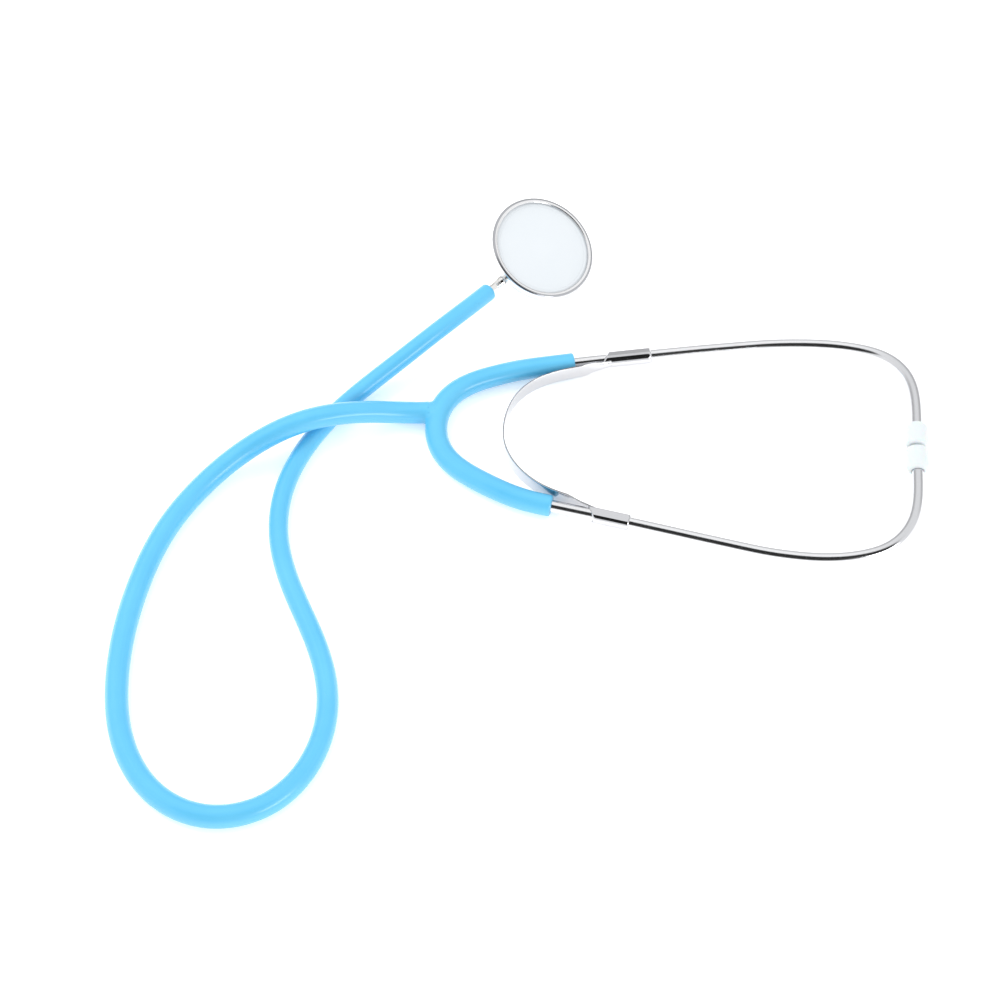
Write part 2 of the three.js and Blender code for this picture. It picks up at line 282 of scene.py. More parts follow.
# %% Turned pieces
def spun(profile, origin, axis, around):
    """Corners [profile, place round, xyz] of a profile of (radius, height) spun about an axis.

    A corner is the origin, plus its height along the axis, plus its radius times the cosine and
    the sine of its angle along two directions square to the axis."""
    across = np.cross(axis, [0, 1, 0])
    across /= np.linalg.norm(across)
    third = np.cross(axis, across)
    angle = np.linspace(0, 2 * np.pi, around, endpoint=False)
    out = np.cos(angle)[:, None] * across + np.sin(angle)[:, None] * third
    return origin + profile[:, None, 1:] * axis + profile[:, None, :1] * out[None]


def turned(name, profile, origin, axis, material, around, steps=3):
    """A turned piece with closed ends, from a profile of (radius, height) in millimetres.

    Straight runs are split into a few steps so that shading stays even."""
    points = profile * MM
    t = np.linspace(0, 1, steps, endpoint=False)[None, :, None]
    fine = (points[:-1, None] * (1 - t) + points[1:, None] * t).reshape(-1, 2)
    fine = np.vstack([fine, points[-1:]])
    piece = grid_piece(name, spun(fine, origin, axis, around), material, along(fine))
    turn_outwards(piece)
    return piece


def rounded(profile, radius, steps=4):
    """A profile with rounded corners: each becomes a quadratic curve that starts at the radius from
    it, or a little short of half way to the next corner."""
    points = np.array(profile, float)
    before, here, after = points[:-2], points[1:-1], points[2:]
    reach_in = np.linalg.norm(before - here, axis=1, keepdims=True)
    reach_out = np.linalg.norm(after - here, axis=1, keepdims=True)
    cut = np.minimum(radius, 0.45 * np.minimum(reach_in, reach_out))
    enter = here + (before - here) / reach_in * cut
    leave = here + (after - here) / reach_out * cut
    t = np.linspace(0, 1, steps + 1)[None, :, None]
    bends = (1 - t) ** 2 * enter[:, None] + 2 * t * (1 - t) * here[:, None] + t**2 * leave[:, None]
    return np.vstack([points[:1], bends.reshape(-1, 2), points[-1:]])


# %% [markdown]
# ## Writing shaders as formulas
# Node trees get hard to read, whether they are drawn by hand or linked socket by socket in Python.
# Here a Wire stands for one output socket, and the usual operators add Math nodes, so a finish reads
# like the formula that it is. A Bench is the tree of one material or of the room's world, and its
# method add makes any other node.

# %% Shader helpers
class Wire:
    """An output socket. Arithmetic on it adds a Math node, with numbers on either side."""

    def __init__(self, bench, socket):
        self.bench = bench
        self.socket = socket

    def math(self, operation, left, right):
        """A Math node on two values or wires."""
        return self.bench.add("ShaderNodeMath", {"operation": operation}, {0: left, 1: right})

    def __add__(self, other):
        return self.math("ADD", self, other)

    def __sub__(self, other):
        return self.math("SUBTRACT", self, other)

    def __rsub__(self, other):
        return self.math("SUBTRACT", other, self)

    def __mul__(self, other):
        return self.math("MULTIPLY", self, other)

    __radd__ = __add__
    __rmul__ = __mul__


class Bench:
    """The node tree of a material or a world, round its one shader with its constants set."""

    def __init__(self, owner, shader="Principled BSDF", **constants):
        owner.use_nodes = True
        self.owner = owner
        self.tree = owner.node_tree
        self.shader = self.tree.nodes[shader]
        self.feed(**constants)

    def add(self, kind, settings=None, inputs=None, output=0):
        """Adds a node: its settings first, then values or wires on its sockets."""
        node = self.tree.nodes.new(kind)
        for label, value in (settings or {}).items():
            setattr(node, label, value)
        for label, value in (inputs or {}).items():
            self.plug(node.inputs[label], value)
        return Wire(self, node.outputs[output])

    def plug(self, socket, value):
        """Links a wire to a socket, or sets the socket to a value."""
        if isinstance(value, Wire):
            self.tree.links.new(value.socket, socket)
        else:
            socket.default_value = value

    def feed(self, **links):
        """Values or wires onto the shader's own sockets."""
        for label, value in links.items():
            self.plug(self.shader.inputs[label.replace("_", " ")], value)

    def noise(self, vector, scale, detail=2.0):
        """Soft noise from 0 to 1. Its blobs are about 1 / scale across."""
        return self.add("ShaderNodeTexNoise", {}, {
            "Vector": vector, "Scale": scale, "Detail": detail, "Roughness": 0.5})

    def mix(self, factor, first, second):
        """A colour between two, given as red, green and blue or as wires."""
        first, second = [colour if isinstance(colour, Wire) else (*colour, 1)
                         for colour in (first, second)]
        return self.add("ShaderNodeMix", {"data_type": "RGBA"}, {0: factor, 6: first, 7: second}, 2)

    def bump(self, height, strength, distance):
        """A normal tilted by the slope of a height that runs from 0 to 1 times the distance."""
        return self.add("ShaderNodeBump", {}, {
            "Height": height, "Strength": strength, "Distance": distance})

    def ramp(self, value, start, end):
        """0 at start, 1 at end and a smoothstep between; start may be the larger."""
        return self.add("ShaderNodeMapRange", {"interpolation_type": "SMOOTHSTEP"}, {
            "Value": value, "From Min": start, "From Max": end})

    def part(self, vector, axis):
        """One part, X, Y or Z, of a vector."""
        return self.add("ShaderNodeSeparateXYZ", {}, {0: vector}, axis)

    def place(self, kind="Object"):
        """Object coordinates, in metres, or another kind of texture coordinate."""
        return self.add("ShaderNodeTexCoord", {}, {}, kind)

    def surface(self, stretch_round=1.0, stretch_along=1.0):
        """The piece's own UV map, in metres round and along, stretched by the two factors."""
        uv = self.add("ShaderNodeUVMap", {"uv_map": "surface"})
        return self.add("ShaderNodeMapping", {}, {
            "Vector": uv, "Scale": (stretch_round, stretch_along, 1)})


# %% [markdown]
# ## Hose plastic
# The hose is soft PVC, dipped over a rod. It is a clear light blue, a shade deeper in patches, with
# a skin that is glossy but not quite even, and faint lines along it from the mould. Noise stretched
# along the UV map gives those lines, and a coarse noise in Object coordinates the patches.

# %% Hose material
HOSE_BLUE = (0.128, 0.535, 0.810)
HOSE_DEEP_BLUE = (0.078, 0.440, 0.745)


def hose_plastic():
    """A colour between two blues, by 0.65 of the patches and 0.35 of the streaks. The patches also
    change the roughness, and the streaks and a fine grain make the relief."""
    bench = Bench(bpy.data.materials.new("hose_pvc"), Specular_IOR_Level=0.5, Coat_Weight=0.4,
                  Coat_Roughness=0.17)
    patches = bench.noise(bench.place(), 55, 3)
    streaks = bench.noise(bench.surface(900, 18), 1)
    grain = bench.noise(bench.place(), 1400)
    bench.feed(
        Base_Color=bench.mix(patches * 0.65 + streaks * 0.35, HOSE_DEEP_BLUE, HOSE_BLUE),
        Roughness=0.25 + 0.12 * patches + 0.05 * grain,
        Normal=bench.bump(grain * 0.4 + streaks, 0.25, 0.12 * MM),
    )
    return bench.owner


hose_pvc = hose_plastic()
print("finish", hose_pvc.name)

# %% [markdown]
# ## The free hose
# The hose leaves the Y, rises in a long low hump where it crosses over itself, lies round in a loop
# and climbs to the chest piece. A real dipped hose isn't one size all along: this one swells from
# 7.6 mm at the chest piece to 9.4 mm, so the radius is read from a few known sizes along it and
# evened out. A curve object would need that thickness set point by point, so a pipe is used. Its
# ends are a lip and a bore at the stem, and a short run that slips inside the Y.

# %% Hose
HOSE_SIZES = [  # distance from the chest piece and diameter, both in mm
    (0, 7.6), (70, 7.8), (150, 8.0), (203, 8.5), (255, 8.8), (300, 9.4), (405, 9.3), (474, 9.1),
    (515, 9.3), (582, 9.2),
]
STEM_BORE = 2.2 * MM
EVENING = 41  # route points that each radius is evened out over
from_chest = (hose_length - along(hose_line)) / MM
hose_radius = np.interp(from_chest, *np.array(HOSE_SIZES).T) / 2 * MM
weights = np.hanning(EVENING) / np.hanning(EVENING).sum()
hose_radius = np.convolve(np.pad(hose_radius, EVENING // 2, mode="edge"), weights, mode="valid")

mouth = hose_radius[-1]
hose_end = [
    (0.45 * MM, mouth - 0.12 * MM), (0.8 * MM, mouth - 0.5 * MM), (0.95 * MM, mouth - 1.0 * MM),
    (0.8 * MM, STEM_BORE + 0.4 * MM), (0.3 * MM, STEM_BORE), (-9 * MM, STEM_BORE),
]
hose_start = [(step * MM, hose_radius[0] - 0.02 * step * MM) for step in (1, 2, 3)]
hose = pipe("hose", hose_line, hose_radius, hose_pvc, hose_start, hose_end)
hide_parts("main_hose")
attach(hose, "tubing")

# %% [markdown]
# ## The Y
# The three hoses are moulded into one another with a soft fillet. A Y like this is awkward as a
# grid, so it is worked out as a distance field: each tube is the distance to its line less its
# radius, a smooth minimum melts the two together, and the surface is where the field is zero. One
# quad is laid across each grid edge that the surface crosses, and each corner is then slid along
# the field's slope until it lies exactly on the surface.

# %% Y surface
Y_PITCH = 0.55 * MM
Y_FILLET = 2.0 * MM
Y_TUCK = 0.06 * MM  # how much thinner each end gets where it slips under its neighbour
Y_OVERLAP = 3 * MM  # how far the neighbours run on into one another past the seam
Y_INLET = 0.43  # where the free hose joins, as a share of the way across the Y
Y_PARTS = 24  # the field is worked out in this many goes, to save memory
Y_MIDDLE = 4.6 * MM  # height of the hoses' middle lines


def tube_field(points, line, radius):
    """Distance from each point to the nearest place on a line, less the radius there."""
    gap = np.linalg.norm(points[:, None] - line[None], axis=2)
    nearest = gap.argmin(axis=1)
    return gap[np.arange(len(points)), nearest] - radius[nearest]


def smooth_minimum(first, second, reach):
    """The lower of two fields, rounded off where they are within reach of each other."""
    closeness = np.clip(1 - np.abs(first - second) / reach, 0, 1)
    return np.minimum(first, second) - closeness**2 * reach / 4


branch_share = np.linspace(0, 1, len(branch_line))
branch_radius = np.interp(
    branch_share, [0, 0.25, 0.45, 0.8, 1], [4.25, 4.45, 4.65, 4.65, 4.45]) * MM
overlap = Y_OVERLAP / along(branch_line)[-1]

# Across: the stretch of headset hose between the two seams, and a little beyond them.
in_y = (branch_share >= Y_LEFT_END - overlap) & (branch_share <= Y_RIGHT_END + overlap)
across_line = branch_line[in_y]
tuck = np.interp(branch_share[in_y], [
    Y_LEFT_END - overlap, Y_LEFT_END, Y_RIGHT_END, Y_RIGHT_END + overlap], [1, 0, 0, 1])
across_radius = branch_radius[in_y] - Y_TUCK * tuck

# Inlet: a cubic Bezier curve from the free hose's end to the middle, narrowing as it goes in.
middle_share = Y_LEFT_END + Y_INLET * (Y_RIGHT_END - Y_LEFT_END)
middle = branch_line[int(middle_share * len(branch_line))]
hose_ahead = directions(hose_line)[0][0]
leaving = hose_line[0] - 3 * MM * hose_ahead
arriving = middle - np.array([4 * MM, 0, 0])
t = np.linspace(0, 1, 60)[:, None]
inlet_line = ((1 - t) ** 3 * hose_line[0] + 3 * t * (1 - t) ** 2 * leaving
              + 3 * t**2 * (1 - t) * arriving + t**3 * middle)
inlet_line = np.vstack([hose_line[0] + hose_ahead * Y_OVERLAP, inlet_line])
narrowing = np.interp(np.linspace(0, 1, len(inlet_line)), [0, 0.55, 1], [1, 1, 0.6])
inlet_radius = hose_radius[0] * narrowing
inlet_radius[0] -= Y_TUCK
print("Y joins at", middle.round(4))


def y_field(points):
    """The whole Y's field: the two tubes' fields under a smooth minimum."""
    return smooth_minimum(tube_field(points, across_line, across_radius),
                          tube_field(points, inlet_line, inlet_radius), Y_FILLET)


def y_slope(points, step=0.02 * MM):
    """The field's gradient, by central differences."""
    moves = np.eye(3) * step
    return np.stack([(y_field(points + move) - y_field(points - move)) / (2 * step)
                     for move in moves], axis=1)


# %% [markdown]
# The surface is drawn through the grid in one go. A grid cell with some corners inside and some
# outside gets one corner of the mesh, and each grid edge that goes from inside to outside gets the
# quad between the four cells round it.

# %% Y mesh
def field_surface(field, low, high, pitch):
    """Corners and quads where a field changes sign on a regular grid."""
    counts = np.ceil((high - low) / pitch).astype(int) + 1
    axes = [low[k] + pitch * np.arange(counts[k]) for k in range(3)]
    places = np.stack(np.meshgrid(*axes, indexing="ij"), axis=-1)
    values = np.concatenate([field(part) for part in np.array_split(places.reshape(-1, 3), Y_PARTS)])
    inside = values.reshape(counts) < 0
    held = sum(inside[i:counts[0] - 1 + i, j:counts[1] - 1 + j, k:counts[2] - 1 + k].astype(int)
               for i in (0, 1) for j in (0, 1) for k in (0, 1))
    cells = (held > 0) & (held < 8)
    number = -np.ones(cells.shape, int)
    number[cells] = np.arange(cells.sum())
    corners = low + (np.argwhere(cells) + 0.5) * pitch
    unit = np.eye(3, dtype=int)
    quads = []
    for axis in range(3):
        u, v = unit[(axis + 1) % 3], unit[(axis + 2) % 3]
        near = np.take(inside, np.arange(counts[axis] - 1), axis)
        far = np.take(inside, np.arange(1, counts[axis]), axis)
        for crossing, order in ((near & ~far, 1), (~near & far, -1)):
            spots = np.argwhere(crossing)
            ring = [spots, spots - u, spots - u - v, spots - v][::order]
            quads.append(np.stack([number[tuple(cell.T)] for cell in ring], axis=1))
    return corners, np.vstack(quads)


margin = 7 * MM  # more than the hoses' radius, so that the grid holds the whole surface
both_lines = np.vstack([across_line, inlet_line])
y_corners, y_quads = field_surface(
    y_field, both_lines.min(axis=0) - margin, both_lines.max(axis=0) + margin, Y_PITCH)
for _ in range(6):
    slope = y_slope(y_corners)
    steepness = (slope**2).sum(axis=1, keepdims=True)
    y_corners = y_corners - y_field(y_corners)[:, None] * slope / np.maximum(steepness, 0.1)
turn_size = 4 * MM
turn = np.arctan2(y_corners[:, 2] - Y_MIDDLE, turn_size)
y_uv = np.column_stack([turn * turn_size, y_corners[:, 1]])
y_piece = mesh_piece("y_moulding", y_corners, y_quads.tolist(), hose_pvc, y_uv)
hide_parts("y_junction")
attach(y_piece, "tubing")

# %% [markdown]
# ## Headset branches
# From the Y two short hoses run to the ear tubes and end in a rounded lip round the metal. Each
# is built in place as one fixed mesh.

# %% Branches
TUBE_RADIUS = 2.5 * MM
BORE_DEPTH = 12 * MM
LIP = [(0.4, -0.1), (0.75, -0.45), (0.9, -0.95)]  # mm beyond the end, and mm on the radius


def lip_rings(size, bore, depth):
    """A rounded lip at a hose's end, then the bore going back inside."""
    rings = [(beyond * MM, size + change * MM) for beyond, change in LIP]
    return [*rings, (0.75 * MM, bore + 0.3 * MM), (0.3 * MM, bore), (-depth, bore)]


for side, arm in (("left", "left_arm"), ("right", "right_arm")):
    if side == "left":
        chosen = branch_share <= Y_LEFT_END + overlap
        line, radius = branch_line[chosen][::-1], branch_radius[chosen][::-1]
    else:
        chosen = branch_share >= Y_RIGHT_END - overlap
        line, radius = branch_line[chosen], branch_radius[chosen]
    radius = radius - Y_TUCK * np.clip(1 - along(line) / Y_OVERLAP, 0, 1)
    rings = lip_rings(radius[-1], TUBE_RADIUS + 0.05 * MM, BORE_DEPTH)
    branch = pipe(f"{side}_branch_hose", line, radius, hose_pvc, end=rings)
    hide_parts(f"{side}_branch")
    run = along(line)
    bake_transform(branch)

# %% [markdown]
# ## Bright metals
# Chrome hides nothing: it shows the room. What makes it real is a little unevenness, so the ear
# tubes carry very faint draw lines along them. The spring strip is rolled steel with finer, denser
# lines, and the ring and head were turned, so their lines run round them. The lines could be an
# image texture. Noise stretched along one way of the UV map gives them at any distance.

# %% Metal material
# The grey painted into a metal's colour, as painted shade or as a painted darker reflection.
PAINTED_DARK_GREY = (0.34, 0.35, 0.38)


def bright_metal(name, colour, rough, line_round, line_along, line_depth, painted_dark=None):
    """Bright metal with fine lines, whose depth is in mm. The last argument is a formula, from a
    Bench to a wire that is 1 where grey is painted into the colour, as painted shade or a painted
    reflection."""
    bench = Bench(bpy.data.materials.new(name), Metallic=1.0, Specular_IOR_Level=0.5)
    lines = bench.noise(bench.surface(line_round, line_along), 1, 3)
    clouds = bench.noise(bench.place(), 120, 3)
    dark = [0.93 * part for part in colour]
    shade = bench.mix(clouds * 0.6 + lines * 0.4, dark, colour)
    # Painted shade or a painted darker reflection: the colour turns grey where the mask is 1.
    if painted_dark:
        shade = bench.mix(painted_dark(bench), shade, PAINTED_DARK_GREY)
    bench.feed(
        Base_Color=shade,
        Roughness=rough + 0.04 * clouds + 0.04 * lines,
        Normal=bench.bump(lines, 0.12, line_depth * MM),
    )
    print("finish", name)
    return bench.owner


# %% [markdown]
# Three of the metals get a grey painted into their colour in places: a painted darker reflection on
# the tubes near the tips, painted shade along the strip's upper edge and painted shade lines on the
# ring's foot and bevels. A mask for each could be painted, but these places follow a coordinate, so
# a mask is only a smooth step up and a smooth step down again along it.

# %% Painted shade and reflection masks
def between(bench, value, low, high, soft):
    """1 where value lies from low to high, falling to 0 over the soft distance outside. All in mm,
    for a value in metres."""
    rise = bench.ramp(value, (low - soft) * MM, low * MM)
    fall = bench.ramp(value, (high + soft) * MM, high * MM)
    return rise * fall


def painted_reflection_near_tips(bench):
    """A painted darker reflection: the chrome's colour turns a little grey over the last stretch of
    tube before the ear tips, in place of something grey mirrored there.
    """
    return 0.36 * between(bench, bench.part(bench.place(), "X"), 98, 200, 28)


def painted_shade_strip_edge(bench):
    """Painted shade along the strip's upper edge, just under its full height."""
    return between(bench, bench.part(bench.place(), "Z"), 9.54, 20, 0.12)


def painted_shade_ring_lines(bench):
    """Painted shade lines on the ring's foot and its outer and inner bevels, found by their distance
    along the profile.
    """
    run = bench.part(bench.surface(), "Y")
    foot = between(bench, run, 0.7, 1.1, 0.2)
    outer = between(bench, run, 4.5, 5.6, 0.2)
    inner = between(bench, run, 6.8, 7.5, 0.2)
    return 0.3 * foot + 0.75 * outer + 0.45 * inner


# %% The metals
# Painted light: a painted grey reflection on the tubes near the tips, painted shade on the strip's
# upper edge and painted shade lines on the ring.
chrome = bright_metal("tube_chrome", (0.90, 0.905, 0.925), 0.13, 2600, 30, 0.02, painted_reflection_near_tips)
spring_steel = bright_metal(
    "spring_strip_steel", (0.70, 0.705, 0.73), 0.06, 5200, 60, 0.03, painted_shade_strip_edge)
ring_metal = bright_metal(
    "ring_turned_metal", (0.92, 0.925, 0.935), 0.12, 40, 9000, 0.03, painted_shade_ring_lines)
head_metal = bright_metal("head_turned_metal", (0.86, 0.865, 0.875), 0.24, 30, 7000, 0.05)
stem_metal = bright_metal("stem_plated_metal", (0.90, 0.89, 0.87), 0.10, 60, 5000, 0.02)

# %% [markdown]
# ## Ear tubes
# Each ear tube is one bent and chromed pipe. It starts inside the hose, runs through the rolled end
# of the spring, bows out, and turns in to its ear tip. One route, mirrored, gives both, and a pipe
# with a short bore at each end is enough, since nothing of the inside is seen further in.

# %% Ear tubes
TUBE_BORE = 1.85 * MM
INNER_BORE = 1.8 * MM
BORE_SEEN = 8 * MM

for side, line in tube_lines.items():
    tip_end = [(0.0, TUBE_RADIUS - 0.2 * MM), (0.0, TUBE_BORE), (-BORE_SEEN, INNER_BORE)]
    hose_mouth = [(0.2 * MM, TUBE_RADIUS - 0.25 * MM), (0.2 * MM, TUBE_BORE),
                  (-BORE_SEEN, INNER_BORE)]
    tube = pipe(f"{side}_chromed_tube", line, TUBE_RADIUS, chrome, hose_mouth, tip_end, 56)
    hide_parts(f"{side}_ear_tube")
    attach(tube, f"{side}_arm")

# %% [markdown]
# ## Spring sleeves
# The ends of the spring are rolled round the ear tubes. The roll isn't quite a circle: like a
# scroll, it widens a little from one end round to the other, and the step between the two is the
# seam underneath. The press also leaves a flat on its upper side. The end towards the hose is cut
# on a slant, longer where the strip comes in. Bending a flat strip with modifiers would give much
# the same, but then the seam, flat and slant couldn't each be set by one number.

# %% Sleeve sizes
SLEEVE_OUTER = 3.4 * MM
SLEEVE_INNER = 2.62 * MM
SLEEVE_SEAM = 0.22 * MM
SLEEVE_EDGE = 0.15 * MM
SLANT = 3.5 * MM
FLATS = {"left": (72, 0.90), "right": (85, 0.82)}  # lean of the pressed flat, and its depth
SLEEVE_ENDS = {"left": (-20.6, 0.4), "right": (-24.4, -6.3)}
SLEEVE_AROUND = 96
SLEEVE_PLACES = 24


def sleeve_frame(side):
    """The straight middle line of a sleeve: its start, its end, and the directions along it, level
    and upright, from the stretch of ear tube that it is rolled round."""
    line = tube_lines[side]
    start_x, end_x = [(x + FRAME_SHIFT[0]) * MM for x in SLEEVE_ENDS[side]]
    stretch = line[(line[:, 0] > start_x - 4 * MM) & (line[:, 0] < end_x)]
    stretch = stretch[: np.argmax(stretch[:, 0]) + 1]
    first, last = stretch[0], stretch[-1]
    first = last + (first - last) * (last[0] - start_x) / (last[0] - first[0])
    ahead = (last - first) / np.linalg.norm(last - first)
    level = np.cross([0, 0, 1], ahead)
    level /= np.linalg.norm(level)
    return first, last, ahead, level, np.cross(ahead, level)


# %% Sleeves
def sleeve_skins(side):
    """Corners [place along, place round, xyz] of a roll, the outer skin and then the inner one back.

    The angle starts at the seam underneath, where the radius is less by the seam's step, and that
    dies away over the first nine tenths of the turn. On the pressed flat the radius is depth /
    cos(angle - lean) of the full one. The slanted end is set in by half the slant times 1 less the
    cosine of the angle from the side that the strip comes in on."""
    first, last, ahead, level, upright = sleeve_frame(side)
    length = np.linalg.norm(last - first)
    share = np.arange(SLEEVE_AROUND) / SLEEVE_AROUND
    angle = 2 * np.pi * share - np.pi / 2
    strip_side = -1 if side == "left" else 1
    inset = SLANT / 2 * (1 - strip_side * np.cos(angle))
    seam = SLEEVE_SEAM * (1 - np.clip(share / 0.9, 0, 1))
    lean, depth = FLATS[side]
    flat = depth / np.maximum(np.cos(angle - math.radians(lean)), depth)
    place = np.linspace(0, 1, SLEEVE_PLACES)
    out = np.cos(angle)[None, :, None] * level + np.sin(angle)[None, :, None] * upright
    skins = []
    for skin, edge, pressed in ((SLEEVE_OUTER, SLEEVE_EDGE, flat),
                                (SLEEVE_INNER, -SLEEVE_EDGE, np.ones(SLEEVE_AROUND))):
        shave = np.interp(place, [0, 0.012, 0.988, 1], [edge, 0, 0, edge])
        reach = inset[None, :] + (length - inset[None, :]) * place[:, None]
        size = skin * pressed[None, :] - seam[None, :] * (pressed > 0.999) - shave[:, None]
        skins.append(first + reach[..., None] * ahead + size[..., None] * out)
    return np.concatenate([skins[0], skins[1][::-1]])


def sleeve(side):
    """A thick roll: quads between the rings of its skins, and from the last ring to the first."""
    first, last, ahead, level, _ = sleeve_frame(side)
    grid = sleeve_skins(side)
    rings, around, _ = grid.shape
    start = (rings - 1) * around
    faces = ring_faces(rings, around)[:-2]
    tie = [[start + a, start + b, b, a] for a, b, _, _ in ring_faces(2, around)[:-2]]
    turn = np.arange(around) / around * 2 * np.pi * SLEEVE_OUTER
    run = np.linspace(0, 2 * np.linalg.norm(last - first), rings)
    uv = np.stack(np.broadcast_arrays(turn[None, :], run[:, None]), axis=-1)
    piece = mesh_piece(f"{side}_rolled_sleeve", grid.reshape(-1, 3), [*faces, *tie], spring_steel,
                       uv.reshape(-1, 2))
    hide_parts(f"{side}_spring_sleeve")
    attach(piece, f"{side}_arm")
    return first, ahead, level


sleeves = {side: sleeve(side) for side in ("left", "right")}

# %% [markdown]
# ## Leaf spring
# The strip stands on edge and is bent to a bow. Near each sleeve it narrows and its flat curls, so
# that it can wrap round the tube: the section is an arc whose curvature grows from nothing to that
# of the roll. A flat ribbon with a Solidify modifier couldn't curl like that, so the section's
# corners are worked out at each place along the bow. It is made as two halves that meet at the
# bow's top.

# %% Strip sizes
STRIP_WIDTH = 8.4 * MM
STRIP_NECK = 5.0 * MM
STRIP_THICKNESS = 0.6 * MM
NECK_LENGTH = 13 * MM
NECK_DROP = 0.4 * MM
STRIP_ROLL = 3.1 * MM
STRIP_RUN_IN = 5 * MM  # how far the strip carries on where it turns into the sleeve
STRIP_ACROSS = 15  # corners on each face of the section


# %% Strip surface
def strip_corners(line, towards_tube):
    """Corners [place along, place round the section, xyz] of a strip that narrows and curls.

    The section is an arc of curvature k: a place t up from the middle stands (1 - cos(k t)) / k
    sideways and sin(k t) / k up, and half the thickness square to that. Along the last stretch the
    width, height and k change by a smoothstep. The edges are eased by thinner outermost corners."""
    ahead, level, upright = directions(line)
    to_end = along(line)[-1] - along(line)
    neck = np.clip(1 - to_end / NECK_LENGTH, 0, 1)
    neck = neck**2 * (3 - 2 * neck)
    width = STRIP_WIDTH + (STRIP_NECK - STRIP_WIDTH) * neck
    k = np.maximum(neck / STRIP_ROLL, 1e-3)[:, None]
    up_one_face = np.linspace(-0.5, 0.5, STRIP_ACROSS)
    half = np.concatenate([up_one_face, up_one_face[::-1]])
    face = np.repeat([0.5, -0.5], STRIP_ACROSS)
    outermost = np.abs(half) > 0.49
    t = width[:, None] * half[None, :] * (1 - 0.02 * outermost)
    thick = STRIP_THICKNESS * (face * (1 - 0.35 * outermost))[None, :]
    sideways = (1 - np.cos(k * t)) / k + thick * np.cos(k * t)
    lift = np.sin(k * t) / k - thick * np.sin(k * t)
    middle = line.copy()
    middle[:, 2] = SPRING_HEIGHT * MM - NECK_DROP * neck
    sense = towards_tube * np.sign(level[:, 1:2])
    return (middle[:, None] + (sense * sideways)[..., None] * level[:, None]
            + lift[..., None] * upright[:, None])


def into_sleeve(side, line):
    """The strip's line carried on into the sleeve's wall, easing in by a smoothstep."""
    first, ahead, level = sleeves[side]
    sideways = (line[-1] - first) @ level
    t = np.linspace(0, 1, 12)[1:, None]
    ease = t**2 * (3 - 2 * t)
    inward = ease * (np.sign(sideways) * STRIP_ROLL - sideways)
    return np.vstack([line, line[-1] + STRIP_RUN_IN * t * ahead + inward * level])


# %% Leaf spring
top_of_bow = int(spring_line[:, 0].argmin())
halves = {"left": spring_line[: top_of_bow + 1][::-1], "right": spring_line[top_of_bow:]}
for side, line in halves.items():
    line = into_sleeve(side, line)
    run = along(line)
    spring_half = grid_piece(
        f"{side}_spring_half", strip_corners(line, 1 if side == "left" else -1), spring_steel, run)
    turn_outwards(spring_half)
    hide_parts("leaf_spring")
    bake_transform(spring_half)

# %% [markdown]
# ## Ear tips
# The tips are soft white vinyl, turned in form: a short skirt round the tube, a full rounded body
# and a dimpled front with the sound hole. A little light goes into the plastic. Real translucency
# would be slow and noisy on so small a piece, so the shader only gets a low weight of subsurface
# scattering.

# %% Ear tip material
def tip_vinyl():
    """White with a faint tint in clouds, and a fine uneven skin."""
    bench = Bench(bpy.data.materials.new("tip_vinyl"), Subsurface_Weight=0.15,
                  Subsurface_Scale=3 * MM, Specular_IOR_Level=0.4)
    skin = bench.noise(bench.place(), 900)
    clouds = bench.noise(bench.place(), 160)
    bench.feed(
        Base_Color=bench.mix(clouds, (0.68, 0.74, 0.76), (0.72, 0.76, 0.77)),
        Roughness=0.38 + 0.12 * skin,
        Normal=bench.bump(skin, 0.2, 0.1 * MM),
    )
    return bench.owner


vinyl = tip_vinyl()
print("finish", vinyl.name)

# %% [markdown]
# One profile of (radius, height) in millimetres makes both tips. It is spun about the last stretch
# of each tube, with heights from the tube's end.

# %% Ear tips
TIP_PROFILE = [
    (0.0, -1.5), (2.55, -1.5), (2.55, -6.0), (3.3, -6.0), (4.0, -5.6), (4.55, -4.6), (4.8, -3.0),
    (4.8, 0.6), (4.8, 2.6), (4.65, 3.9), (4.0, 4.75), (2.9, 5.05), (1.7, 4.9), (1.1, 4.2),
    (1.1, 0.4), (0.0, 0.4),
]
for side, line in tube_lines.items():
    ahead = directions(line)[0][-1]
    tip = turned(f"{side}_soft_tip", rounded(TIP_PROFILE, 0.6), line[-1], ahead, vinyl, 72)
    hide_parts(f"{side}_ear_tip")
    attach(tip, f"{side}_tip")

# %% [markdown]
# ## Chest piece
# The head is a turned body with a domed back, a thin film over its front and a screwed ring that
# holds the film. They share one axis, square to the ring's front. It is found from the joint that
# the ring turns about, so the pieces land where the CAD says.

# %% Chest piece frame
def joint_named(name):
    """A joint of the frame."""
    return next(joint for joint in frame["joints"] if joint["name"] == name)


def unit_axis(joint):
    """The direction that a joint turns about, with length 1."""
    return np.array(joint["axis"]) / np.linalg.norm(joint["axis"])


head_centre = np.array(joint_named("ring_unscrew")["pos_m"])
head_axis = unit_axis(joint_named("ring_unscrew"))
stem_axis = unit_axis(joint_named("chest_piece_turn"))
print("head centre", head_centre.round(4), "axis", head_axis.round(3))

# %% [markdown]
# The film is a pale stiff resin disc. Its faint rings are noise stretched along one way of the UV
# map, as on the metals.

